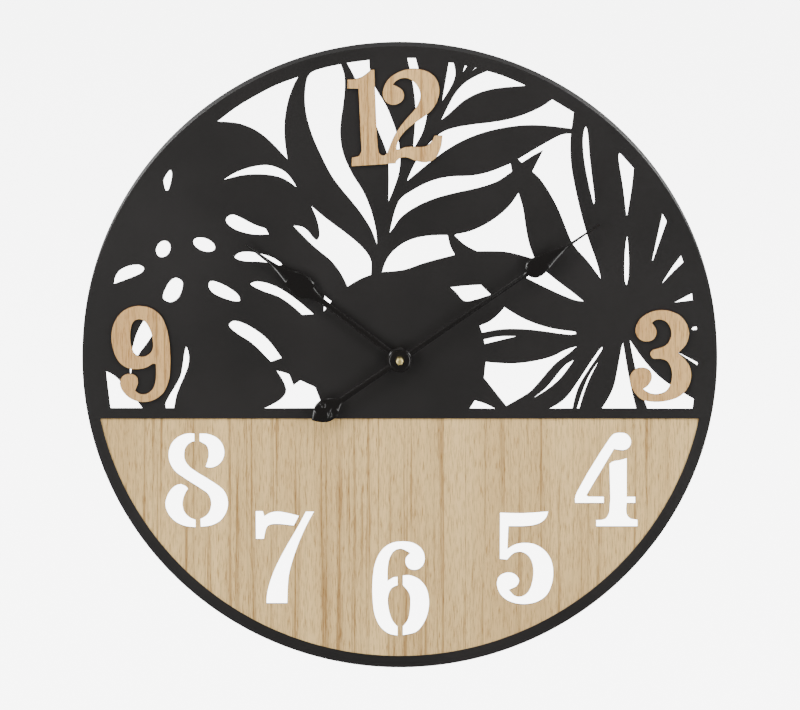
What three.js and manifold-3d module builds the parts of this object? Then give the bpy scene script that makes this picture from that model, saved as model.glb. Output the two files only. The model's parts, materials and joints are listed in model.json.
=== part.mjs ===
// Round wall clock: a pierced leaf panel above a wooden half, on a deep hoop, with raised wooden
// numerals 12, 9 and 3, stencilled numerals 8 to 4, and a battery quartz movement behind the centre.
//
// Millimetres, +Z up. The viewer stands on the -Y side and the wall is the plane y = 0.
// The origin is on the wall, where the nail carries the hanger. Outlines are given on the dial,
// as [x, z] from its centre, and every depth below is a y value.
import * as THREE from "three";
import { mergeVertices } from "three/addons/utils/BufferGeometryUtils.js";
import Module from "manifold-3d";

const wasm = await Module();
wasm.setup();

// ---- driving dimensions ----
const DIAL_R = 285; // outside radius of the clock
const HOOP_THICKNESS = 1.5;
const HOOP_INNER_R = DIAL_R - HOOP_THICKNESS;
const RING_INNER_R = 275; // inner edge of the flat ring round the wooden half
const NAIL_HEIGHT = 262; // wall nail above the dial centre

const HOOP_BACK = -2; // the bumpers hold the hoop this far off the wall
const PANEL_FRONT = -22;
const PANEL_BACK = -20.5;
const WOOD_BACK = -17.5; // the wooden half lies against the back of the panel
const NUMERAL_FRONT = -25;

const BAR_BOTTOM = -55.6; // lower edge of the bar between the leaves and the wood
const WOOD_TOP = -49.5; // the wood reaches up behind the bar and out behind the ring
const WOOD_R = 281;

const CASE_HALF = 28; // the movement's case is square, centred on the dial
const CASE_WALL = 1.2;
const CASE_FRONT = -20;
const CASE_BACK = -5.6;
const COVER_BACK = -4.4;
const BATTERY_BAY_RIGHT = -11.9; // the battery lies upright to the left of this wall

// wheel train: tooth counts and modules
const CENTRE_TEETH = 48;
const THIRD_TEETH = 45;
const SECONDS_TEETH = 36;
const INTERMEDIATE_TEETH = 30;
const MOTION_TEETH = 24;
const HOUR_TEETH = 32;
const KNOB_TEETH = 10;
const MOTION_PINION = 8; // leaves of the two motion-work pinions
const TRAIN_PINION = 6; // leaves of the other pinions
const CENTRE_MODULE = 0.4;
const SECONDS_MODULE = 0.35;
const MOTION_MODULE = 0.55;

// centre distance of two meshing gears, and the module that a distance asks for
const centreDistance = (teethA, teethB, module) => ((teethA + teethB) * module) / 2;
const moduleFor = (teethA, teethB, distance) => (2 * distance) / (teethA + teethB);

const THIRD_DISTANCE = centreDistance(CENTRE_TEETH, TRAIN_PINION, CENTRE_MODULE);
const THIRD_MODULE = moduleFor(THIRD_TEETH, TRAIN_PINION, THIRD_DISTANCE);
const MOTION_DISTANCE = centreDistance(MOTION_TEETH, MOTION_PINION, MOTION_MODULE);
const HOUR_MODULE = moduleFor(HOUR_TEETH, MOTION_PINION, MOTION_DISTANCE);
const KNOB_DISTANCE = centreDistance(MOTION_TEETH, KNOB_TEETH, MOTION_MODULE);
const INTERMEDIATE_DISTANCE = centreDistance(SECONDS_TEETH, TRAIN_PINION, SECONDS_MODULE);
const ROTOR_DISTANCE = centreDistance(INTERMEDIATE_TEETH, TRAIN_PINION, SECONDS_MODULE);

// hands, as turned clockwise from twelve
const HOUR_ANGLE = -52.7;
const MINUTE_ANGLE = 55.2;

// ---- materials ----
const paint = (color, roughness, metalness) =>
  new THREE.MeshStandardMaterial({ color, roughness, metalness });
const blackPaint = paint(0x2d2b2c, 0.6, 0.2);
const glossBlack = paint(0x14100e, 0.25, 0.3);
const lightWood = paint(0xc4b294, 0.7, 0);
const paleWood = paint(0xdcc6aa, 0.65, 0);
const brass = paint(0xc9a75a, 0.3, 1);
const steel = paint(0xb5b7ba, 0.35, 1);
const copper = paint(0xb06a3a, 0.4, 1);
const blackPlastic = paint(0x1b1b1c, 0.5, 0);
const whitePlastic = paint(0xe8e6df, 0.45, 0);
const rubber = paint(0x222222, 0.9, 0);
const boardGreen = paint(0x2c5a3a, 0.6, 0);
const batteryWrap = paint(0x3b4a66, 0.4, 0.2);

// ---- geometry helpers ----
const FINE = 0.3; // how far a simplified outline may leave its curve
const corner = (x, z) => [x, z, true];
const flat = (x, z) => new THREE.Vector2(x, z);
const degrees = THREE.MathUtils.degToRad;

// Point on the dial at a radius and an angle in degrees, counterclockwise from +X.
function polar(radius, angle) {
  return flat(radius * Math.cos(degrees(angle)), radius * Math.sin(degrees(angle)));
}

// Drops the points of an open stretch that lie within FINE of a straight run.
function simplify(points) {
  const first = points[0];
  const last = points[points.length - 1];
  const along = last.clone().sub(first);
  const length = along.length();
  let worst = 0;
  let at = 0;
  points.forEach((point, i) => {
    const offset = point.clone().sub(first);
    const gap = length > 0 ? Math.abs(along.cross(offset)) / length : offset.length();
    if (gap > worst) {
      worst = gap;
      at = i;
    }
  });
  if (worst <= FINE) return [first, last];
  return [...simplify(points.slice(0, at + 1)).slice(0, -1), ...simplify(points.slice(at))];
}

// Closed outline through the given points: smooth everywhere but at its corners.
function outline(points) {
  const start = Math.max(0, points.findIndex((point) => point[2]));
  const round = [...points.slice(start), ...points.slice(0, start), points[start]];
  const anyCorner = Boolean(points[start][2]);
  if (!anyCorner) {
    const ring = points.map(([x, z]) => new THREE.Vector3(x, z, 0));
    const curve = new THREE.CatmullRomCurve3(ring, true, "centripetal");
    const sampled = curve.getPoints(8 * ring.length).map(({ x, y }) => flat(x, y));
    const half = sampled.length >> 1;
    const halves = [sampled.slice(0, half + 1), sampled.slice(half)];
    return halves.flatMap((side) => simplify(side).slice(0, -1));
  }
  const made = [];
  let stretch = [round[0]];
  for (const point of round.slice(1)) {
    stretch.push(point);
    if (!point[2]) continue;
    const run = stretch.map(([x, z]) => new THREE.Vector3(x, z, 0));
    const curve = new THREE.CatmullRomCurve3(run, false, "centripetal");
    const sampled = curve.getPoints(8 * (run.length - 1)).map(({ x, y }) => flat(x, y));
    made.push(...simplify(sampled).slice(0, -1));
    stretch = [point];
  }
  return made;
}

// Ellipse with its long axis tilted from +X.
function ellipse(x, z, semiLong, semiShort, tilt) {
  const curve = new THREE.EllipseCurve(x, z, semiLong, semiShort, 0, 2 * Math.PI, false, degrees(tilt));
  return curve.getPoints(20).slice(0, -1);
}

// Regular circle as outline points.
function circle(x, z, radius, sides = 24) {
  return new THREE.EllipseCurve(x, z, radius, radius).getPoints(sides).slice(0, -1);
}

// Rectangle as outline points, from its lowest to its highest corner.
function rectangle(left, low, right, high) {
  return [flat(left, low), flat(right, low), flat(right, high), flat(left, high)];
}

// Flat piece: an outline on the dial, with holes, filled between two depths.
function plate(points, back, front, holes = []) {
  const counterclockwise = THREE.ShapeUtils.area(points) < 0 ? [...points].reverse() : points;
  const shape = new THREE.Shape(counterclockwise);
  shape.holes = holes.map((hole) => new THREE.Path(hole));
  const made = new THREE.ExtrudeGeometry(shape, { depth: back - front, bevelEnabled: false });
  return made.rotateX(Math.PI / 2).translate(0, back, 0);
}

// Turned piece round the Y axis at [x, z]. Its profile is a list of [radius, y].
function turned(profile, sides = 24, x = 0, z = 0) {
  const points = profile.map(([radius, y]) => flat(radius, y));
  const closed = profile[0][0] > 0 || profile[profile.length - 1][0] > 0;
  if (closed) points.push(points[0].clone());
  if (THREE.ShapeUtils.area(points) < 0) points.reverse();
  return new THREE.LatheGeometry(points, sides).translate(x, 0, z);
}

const rod = (radius, back, front, sides, x, z) =>
  turned([[0, front], [radius, front], [radius, back], [0, back]], sides, x, z);
const tube = (outer, inner, back, front, sides, x, z) =>
  turned([[inner, front], [outer, front], [outer, back], [inner, back]], sides, x, z);

// Box between two depths over a rectangle on the dial.
const block = (left, low, right, high, back, front) => plate(rectangle(left, low, right, high), back, front);

function toSolid(geometry) {
  const bare = geometry.clone();
  bare.deleteAttribute("normal");
  bare.deleteAttribute("uv");
  const merged = mergeVertices(bare, 1e-4);
  const vertProperties = merged.attributes.position.array;
  const triVerts = new Uint32Array(merged.index.array);
  return new wasm.Manifold(new wasm.Mesh({ numProp: 3, vertProperties, triVerts }));
}

function toGeometry(solid) {
  const { vertProperties, triVerts } = solid.getMesh();
  const made = new THREE.BufferGeometry();
  made.setAttribute("position", new THREE.BufferAttribute(vertProperties, 3));
  made.setIndex(new THREE.BufferAttribute(triVerts, 1));
  const faceted = made.toNonIndexed();
  faceted.computeVertexNormals();
  return faceted;
}

const join = (...pieces) => toGeometry(pieces.map(toSolid).reduce((whole, next) => whole.add(next)));
const cut = (body, ...tools) =>
  toGeometry(tools.map(toSolid).reduce((left, tool) => left.subtract(tool), toSolid(body)));

// Sheet with holes of the given outlines right through it.
const pierced = (sheet, outlines) => cut(sheet, ...outlines.map((hole) => plate(hole, 0, -50)));

// ---- gears ----
const WHEEL_ADDENDUM = 0.8; // in modules
const PINION_ADDENDUM = 0.6;
const DEDENDUM = 1.3;
const TIP_SHARE = 0.12; // tooth tip's share of the pitch

// Toothed outline round [x, z], with a tooth centred on the phase angle (radians from +X).
function toothed(teeth, module, addendum, phase, x, z) {
  const pitchRadius = (teeth * module) / 2;
  const step = (2 * Math.PI) / teeth;
  const points = [];
  for (let tooth = 0; tooth < teeth; tooth += 1) {
    const middle = phase + tooth * step;
    const marks = [
      [pitchRadius + addendum * module, middle - (TIP_SHARE * step) / 2],
      [pitchRadius + addendum * module, middle + (TIP_SHARE * step) / 2],
      [pitchRadius - DEDENDUM * module, middle + step / 2],
    ];
    marks.forEach(([r, angle]) => points.push(flat(x + r * Math.cos(angle), z + r * Math.sin(angle))));
  }
  return points;
}

// Phase of a gear that meshes with another one, in the direction from the other to it.
const meshPhase = (direction, otherTeeth, otherPhase, teeth) =>
  direction + Math.PI + Math.PI / teeth + ((direction - otherPhase) * otherTeeth) / teeth;

function wheel(teeth, module, phase, at, back, front, bore) {
  const holes = bore > 0 ? [circle(at.x, at.y, bore, 12)] : [];
  return plate(toothed(teeth, module, WHEEL_ADDENDUM, phase, at.x, at.y), back, front, holes);
}

function pinion(leaves, module, phase, at, back, front, bore = 0) {
  const holes = bore > 0 ? [circle(at.x, at.y, bore, 12)] : [];
  return plate(toothed(leaves, module, PINION_ADDENDUM, phase, at.x, at.y), back, front, holes);
}

// ---- the clock ----
const clock = new THREE.Group();
const dial = new THREE.Group();
dial.position.set(0, 0, -NAIL_HEIGHT);
clock.add(dial);

function add(name, geometry, material, parent = dial) {
  const mesh = new THREE.Mesh(geometry, material);
  mesh.name = name;
  parent.add(mesh);
  return mesh;
}

// ---- hoop, hanger and bumpers ----
const RIM_SIDES = 96;
add("rim_hoop", tube(DIAL_R, HOOP_INNER_R, HOOP_BACK, PANEL_BACK, RIM_SIDES), blackPaint);

// Plate inside the top of the hoop with a keyhole: the head passes the round hole, the shank
// rides up into the slot.
function hangerTab() {
  const half = 6;
  const top = HOOP_INNER_R - 0.3;
  const slotRadius = 1.7;
  const mouthDrop = 6;
  const mouthRadius = 3.8;
  const sheet = plate(rectangle(-half, NAIL_HEIGHT - 13, half, top), HOOP_BACK, HOOP_BACK - 1.5);
  const slot = plate(
    rectangle(-slotRadius, NAIL_HEIGHT - mouthDrop, slotRadius, NAIL_HEIGHT),
    0,
    PANEL_BACK,
  );
  const mouth = rod(mouthRadius, 0, PANEL_BACK, 20, 0, NAIL_HEIGHT - mouthDrop);
  return cut(sheet, slot, rod(slotRadius, 0, PANEL_BACK, 16, 0, NAIL_HEIGHT), mouth);
}
add("hanger_tab", hangerTab(), blackPaint);

const BUMPER_ANGLES = [45, 135, 225, 315];
BUMPER_ANGLES.forEach((angle, i) => {
  const seat = new THREE.Group();
  seat.rotation.y = -degrees(angle);
  dial.add(seat);
  add(`wall_bumper_${i + 1}`, block(276, -10, HOOP_INNER_R - 0.6, 10, 0, -8), rubber, seat);
});

// ---- pierced leaf panel, with its bar and the ring round the wood ----
const LEAF_OPENINGS = [
  // left leaf and the long blades beside it
  [
    [-212, 162], [-209, 168.5], [-205.5, 172.3], [-203.8, 169.5], [-205, 159], [-207, 153],
    [-209.5, 152], [-211, 156],
  ],
  [
    corner(-257, 66.5), [-255, 75], [-251, 80.5], [-239, 85.2], [-232, 84.8], [-228.8, 81.5],
    [-231, 77.5], [-236, 74.8], [-246, 70.5],
  ],
  [
    [-201, 73.5], [-194.6, 70], [-195.5, 60], [-199.5, 53], [-206, 50], [-212.7, 54], [-210.5, 63],
    [-206, 70.5],
  ],
  [
    [-170, 70.3], [-172, 65.5], [-168, 59], [-157, 53.5], [-148, 51], [-143, 51.5], [-143.5, 56],
    [-149, 61.5], [-160, 68],
  ],
  [
    [-150, 131.3], [-155.5, 128.5], [-156, 124], [-149, 117.5], [-137, 113.2], [-126, 111.8],
    corner(-116.5, 112.2), corner(-120, 118.5), [-130, 122], [-141, 127.8],
  ],
  [
    [-148.5, 91.5], [-145, 95.8], [-138, 97.2], [-128, 96.2], [-114, 92], [-107, 87.5], [-104.8, 84.8],
    [-108, 83.8], [-122, 86.8], [-141, 88],
  ],
  [
    [-134.5, 67.3], [-129.5, 69.8], [-121, 69], [-110, 65], [-99, 58.3], [-88, 49.8],
    corner(-76, 39.2), corner(-87.5, 38.4), [-97, 47], [-109, 55.2], [-122, 60],
  ],
  [
    [-153.7, 29.5], [-150, 33.8], [-142, 32.5], [-132, 27.5], [-120, 18.5], [-111, 7.8],
    corner(-105.2, -0.8), corner(-115.8, -4.6), [-125, 5], [-135, 14.5], [-146, 21.5],
  ],
  [
    corner(-158.5, 162.3), [-148, 169.3], [-132, 175], [-117, 176.3], [-104, 171.3], [-97.5, 165],
    corner(-91.8, 155), [-105, 163.5], [-118, 166.7], [-138, 166.7],
  ],
  [
    [-191.7, 11], [-189, 3.5], [-189.3, -7], [-194.5, -21], [-199.7, -34], corner(-202.3, -47),
    corner(-210.3, -47), [-210.5, -42], [-205, -31.5], [-197, -16.5], [-194.8, -4],
  ],
  [
    corner(-264, -12), [-257, -15.5], [-250, -22], [-242, -31], [-235, -40], corner(-230, -47),
    corner(-260, -47),
  ],
  [
    [-221, 40.5], [-216.5, 37], [-217, 29], [-222, 19.5], [-229, 9], [-235.5, 0], [-239.8, -10],
    corner(-241.8, -17.5), [-242.5, -6], [-240.3, 8], [-235.5, 24], [-229, 35],
  ],
  [
    corner(-111.5, -11.5), [-104, -13.3], corner(-98.8, -15.2), corner(-95.2, -24.8),
    corner(-89.3, -20.5), [-82, -24], corner(-75.5, -27), [-72.5, -35], corner(-68, -47),
    corner(-122.5, -47), [-112, -41.3], [-105.5, -36.5], [-102.3, -30.5], [-105, -22],
  ],
  [
    corner(-68, 57.5), corner(-60.5, 51.5), corner(-68.5, 41),
  ],
  // upper blades and the large leaf on the right
  [
    corner(-164.5, 215.5), [-150, 227], [-130, 239.5], [-110, 250], corner(-90, 257.5), [-94.5, 249],
    [-99.5, 235], [-102.5, 218], [-102.8, 202], corner(-100.2, 180.3), [-108, 188.5], [-118, 199],
    [-130, 208], [-145, 213.8],
  ],
  [
    corner(-52.5, 268.8), [-49.2, 258], [-49, 243], [-51.5, 222], [-53, 207], [-50.5, 188],
    [-42.5, 169], [-31.5, 150.5], [-24.5, 132], [-20.5, 113], corner(-20.3, 103.2), [-26.5, 118],
    [-37, 134.5], [-50, 150.5], [-61, 165.5], [-70, 183], [-79, 204], [-84.5, 225], [-85.2, 243],
    [-82.8, 256.5], [-79, 261.3], [-66, 265.8],
  ],
  [
    corner(-48, 269.8), corner(-27, 272.7), [-26, 262], [-21.5, 247.5], [-13.5, 234], [-6.5, 218],
    [-1.5, 202], [0.8, 186], [0, 171], [-4.5, 155.5], corner(-10.2, 142), [-10.2, 160], [-10.8, 180],
    [-13, 190.5], [-21.3, 210], [-31, 234], [-41, 256.5],
  ],
  [
    corner(6.2, 274.3), corner(14.6, 274.3), [17.2, 264], [22, 249], [25, 235], [24.6, 221],
    [20.5, 205], [14.5, 193.5], corner(11.4, 186), [12.2, 198], [13.4, 214], [13.6, 230], [11.5, 249],
    [8.6, 264.5],
  ],
  [
    corner(156.3, 224.5), corner(136.5, 236.6), [127, 230], [112, 223], [95, 217.8], [75, 214.8],
    [55, 212], [40, 207.6], [30, 200.5], [21, 190], [13, 177.5], corner(5.8, 160.5), [20, 172],
    [35, 184.3], [52, 195.5], [72, 204.3], [95, 210], [120, 212.2], corner(154.3, 208.8),
  ],
  [
    corner(43.6, 270.3), corner(48.6, 269.8), [50.2, 261], [48.8, 253], [43.5, 242.5],
    corner(37.8, 234), [39, 242], [41.2, 256],
  ],
  [
    corner(58, 267.6), corner(61, 266.7), corner(57, 260.6), corner(56, 261),
  ],
  [
    corner(68.5, 266), corner(69, 264.5), corner(65, 262), corner(64.8, 263.3),
  ],
  [
    corner(36.8, 216.6), [42.5, 228.5], [48.5, 240.5], [58, 251.5], [70, 258.8], corner(78.5, 262.5),
    [90, 259], corner(113, 249.2), corner(112, 248), [98, 247], [83, 245], [69, 240.8], [56, 233.2],
    [45.5, 223.5],
  ],
  [
    corner(105.2, 181.6), [116, 188], [128, 195.3], [138, 201], [146, 204.6], corner(153.7, 205.3),
    [153.2, 190], [154.5, 173], [158.5, 151.5], [164, 128], [170.5, 106], [177, 87.5],
    corner(181, 71.8), corner(179.8, 71.8), [168, 88], corner(155, 103.3), [150, 114.5], [144.5, 129],
    [138.5, 142], [131, 155], [125, 163.5], corner(118.2, 170), [122.5, 179], corner(127.8, 188.9),
    [120, 184.5], corner(109.3, 177.4),
  ],
  [
    [166.4, 212.3], [168.2, 209], [169.5, 194], [171.5, 175], [174, 155], [175, 141.5], [173.8, 139.7],
    [171, 150], [166.8, 169], [164.2, 187], [164, 203],
  ],
  [
    [195.6, 185], [197, 187.8], [200, 184.5], corner(210.2, 173.3), [208.5, 157], [206, 140],
    corner(204.3, 129.8), corner(202.8, 129.8), [201, 146], [198, 168],
  ],
  [
    [203.8, 112], [205.2, 103], [205.7, 88], [205.3, 72], [203.2, 65.2], [201.4, 71], [201.4, 92],
    [202.6, 107.5],
  ],
  [
    corner(235.3, 132.8), corner(239.8, 124.6), [234.5, 109], corner(227.2, 88), corner(225.7, 88.3),
    [229.5, 105], [232.8, 122],
  ],
  [
    corner(252.3, 94.3), corner(254.8, 87), [245, 77.5], corner(235.3, 67), corner(235.3, 69),
    [243, 81.5],
  ],
  [
    corner(245.5, 50), corner(262.3, 59.5), corner(263.3, 52),
  ],
  [
    [261.2, 26.4], [263.5, 28.4], corner(266.9, 28.7), corner(266.9, 24.9), [263, 24.5],
  ],
  [
    corner(248, 5.5), corner(267.8, -4.4), corner(267.3, -8),
  ],
  [
    corner(206.2, 16.5), [213, 6.5], [223, -6.5], [233, -17], [243, -24.7], [254, -31.8],
    corner(264.4, -37.8), corner(263.2, -47.5), corner(222, -47.5), [218, -36], [213.5, -20],
    [210.5, -6.5], [207.5, 7],
  ],
  [
    [200.6, 14.6], [202.2, 5], [205, -12], [208.5, -30], corner(212.8, -47.3), corner(180.6, -47.3),
    [187.5, -36], [191.8, -26], [194.8, -12], [197.3, 1], [199.3, 12],
  ],
  [
    corner(178.5, -4.5), [172, -17], [166, -32], corner(161.5, -47.3), corner(158.4, -47.3),
    [163.5, -31.5], [169.5, -16.5], corner(177.3, -4.3),
  ],
  [
    [182.2, 10.4], [182.5, 8.5], [176, -2.5], [167, -16], [160, -29.5], corner(155.3, -47.3),
    corner(133.3, -47.3), [143, -41.5], [151, -34], [160, -21], [170, -6], [178.5, 7],
  ],
  [
    corner(157, -1.8), [151, -11], [143, -21], [133, -29.5], corner(119.3, -38.4), corner(119.5, -37),
    [131, -27.5], [140, -16.5], [149, -6],
  ],
  [
    corner(76.8, -3.7), [90, -4.8], [104, -5], [120, -3], [137, 1.5], [149, 7.5], corner(159.8, 10.6),
    [151, 2.5], [140, -6], [129, -18.5], [117, -32], [106, -38.8], corner(95.5, -45.2), [86, -33],
    corner(75.2, -19),
  ],
  [
    corner(67.3, -38.8), [78, -42.5], corner(86.8, -47.3), corner(62, -47.3),
  ],
  [
    corner(75, 16.8), [86, 19.3], [96, 20], corner(105, 19.9), corner(104, 18.6), [90, 15],
    corner(75.8, 11.7),
  ],
  [
    corner(71.2, 29.4), [80, 33.2], [88, 39.8], corner(93.8, 46.6), [104, 40], [117, 33.4], [133, 28],
    [148, 25.2], [157.8, 23.8], [158.8, 21.5], [155, 20.3], [140, 21.8], [118, 24.8], [98, 25.6],
    [86, 24.6], corner(73.6, 22),
  ],
  [
    corner(44.3, 64.6), [60, 66.3], corner(73, 67), corner(82.7, 57.2), [72, 53.8], [61, 50.9],
    [56.5, 52], [50.5, 59],
  ],
  [
    corner(112.4, 72.8), [121, 79], corner(131, 79.3), [142, 70.2], [155, 60.3], corner(166.2, 50.8),
    [157, 52], [145, 57], [131, 63.3],
  ],
  [
    corner(106.6, 151.8), [110.3, 139.5], [113.5, 119], [116.8, 103], corner(121.2, 91),
    corner(118, 90.3), [108, 93.2], [94, 96.3], corner(69.3, 96.7), [58, 102.8], corner(48.6, 111.5),
    corner(49.8, 113.2), [62, 115.8], [75, 121.5], [88, 130], [98.5, 140],
  ],
  [
    corner(43.2, 112.5), [30, 112.2], [15, 110], [2, 104.5], [-9, 94.5], [-14, 85.5],
    corner(-16.3, 77.6), [-5, 78.5], [5, 80], [22, 86], corner(50.2, 93.6), [45.8, 102],
  ],
  [
    corner(-9.4, 113.5), [-7.5, 123], [-3.5, 138], [1, 146.2], [14, 155], [28, 162], [45, 166],
    [65, 167], [80, 170.3], corner(99.6, 178.2), corner(101, 170), [88, 161], [72, 155.3], [50, 150.2],
    [30, 144.5], [13, 136.5], [1, 127.5], [-5.5, 118],
  ],
  [
    corner(-79.7, 139.3), [-68, 129.5], [-54, 118.6], [-40, 107.6], [-30, 97.3], [-25.3, 88.5],
    corner(-25.4, 75.3), [-35, 71.5], corner(-47, 64.2), [-52.5, 75.5], [-61, 87.3], [-74, 98.5],
    [-87, 110.8], corner(-96.5, 121), [-88, 120.3], [-83, 117.2], [-76.5, 109.3], [-74.3, 108],
    [-72.5, 111], [-73.3, 121], [-76.5, 131.5],
  ],
];

const ROUND_OPENINGS = [
  ellipse(-212, 99.3, 8.3, 6.6, 65),
  ellipse(-175.3, 103.3, 10.8, 6.3, -22),
];

// ---- numerals ----
const TWELVE = [
  corner(-22.8, 263.9), corner(-25.6, 263.6), [-29.5, 260.3], [-34, 257], [-40, 255.2],
  corner(-46.8, 254.8), corner(-46.9, 246.7), corner(-37, 246.5), corner(-34.3, 189.5), [-36, 185.5],
  corner(-42.8, 183.6), corner(-43.2, 175.6), corner(-3.4, 178.2), corner(-3.2, 180), [-1, 182.3],
  [2, 183.7], [6, 183.7], [11, 182], [16, 180.1], [22, 179.2], [28, 180.2], [33, 184.3], [36.5, 191.5],
  [38, 198.5], corner(38.3, 203.4), corner(31.2, 203.7), [29.5, 199.8], [26.8, 196], [22.5, 193.7],
  [12, 193.4], [4, 192.9], corner(-0.5, 190.8), [-2.8, 190.6], [-2.8, 193.5], [-1, 199.3],
  [3.5, 206.3], [10.5, 212.8], [18, 218.5], [26, 224.3], [31.5, 231], [35, 240], [35.3, 248],
  [32.3, 256], [26, 261.6], [17.5, 264.2], [8, 264.3], [-1, 261.6], [-9, 256.3], [-13.7, 249],
  [-15.2, 241], [-13.2, 235.2], [-8.5, 231.9], [-3, 232], [2, 235], [4, 240], [2, 245.5],
  corner(-6, 250.3), [-3.3, 253.5], [1.5, 255.9], [7.5, 255.8], [13, 252.3], [17.3, 246], [18.4, 239],
  [15.8, 230.8], [9.5, 223.2], [1.5, 213.3], [-5, 203], [-9.3, 192.5], [-11.2, 187.5], [-14.5, 185.4],
  [-18, 187], corner(-19.6, 193),
];

const NINE = [
  [-233.5, 47.8], [-223.5, 45.8], [-215, 39.6], [-209.3, 28], [-206.4, 12], [-205.7, -4],
  [-207.2, -20.5], [-212.5, -32.2], [-221.5, -38.7], [-231.5, -40.3], [-241.5, -37.2], [-248.8, -30],
  [-251.2, -22.5], [-248.6, -16.4], [-242, -14.4], [-236.2, -17], [-234.7, -22], corner(-237.4, -30),
  [-234, -32.6], [-228.5, -33], [-222.3, -29.3], [-219, -19.5], corner(-218.9, -5.6), [-221, -5.1],
  [-227, -8.4], [-235, -10.3], [-244, -9.2], [-252, -3.3], [-257, 7.5], [-258.7, 19], [-256.7, 31],
  [-250.5, 41], [-242.5, 46.2],
];

const NINE_EYE = [
  [-234.5, 36.1], [-229, 34.5], [-224.4, 28], [-221.4, 18.5], [-221.6, 7], [-226, 2.2], [-232.5, 0.8],
  [-238, 3], [-241.2, 10.5], [-242.3, 20], [-241.2, 29], [-238.5, 34.6],
];

const THREE_OUTLINE = [
  [211.2, 25.5], [212.8, 19.7], [217.5, 15.9], [223, 15.2], [228, 17.5], [230.5, 23.5], [229, 28.5],
  corner(226.2, 32.1), [229, 34.6], [234, 35.2], [239.5, 32.8], [243.2, 26], [243, 18.5],
  [238.8, 11.8], [232, 9.2], [226.5, 7.3], [224.6, 3.5], [228, -0.8], [234, -0.7], [240, -3],
  [244, -11.5], [243.6, -21.5], [239.5, -30], [232, -33.2], [224.5, -32.5], corner(218.2, -28.5),
  [223, -24.9], [226.3, -18.3], [224.5, -11.7], [219, -9.2], [212, -10], [207.3, -14.5], [206.8, -21],
  [209.8, -30.2], [217, -37.8], [228, -40.2], [240, -39.2], [251, -35.2], [258.5, -27.3],
  [261.6, -16.5], [259.4, -6], corner(249.7, 4.8), [256.5, 12], [259.6, 21.5], [257.7, 30.8],
  [251.5, 38.8], [243, 42.9], [234, 44], [223.5, 41.5], [215, 35],
];

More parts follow.
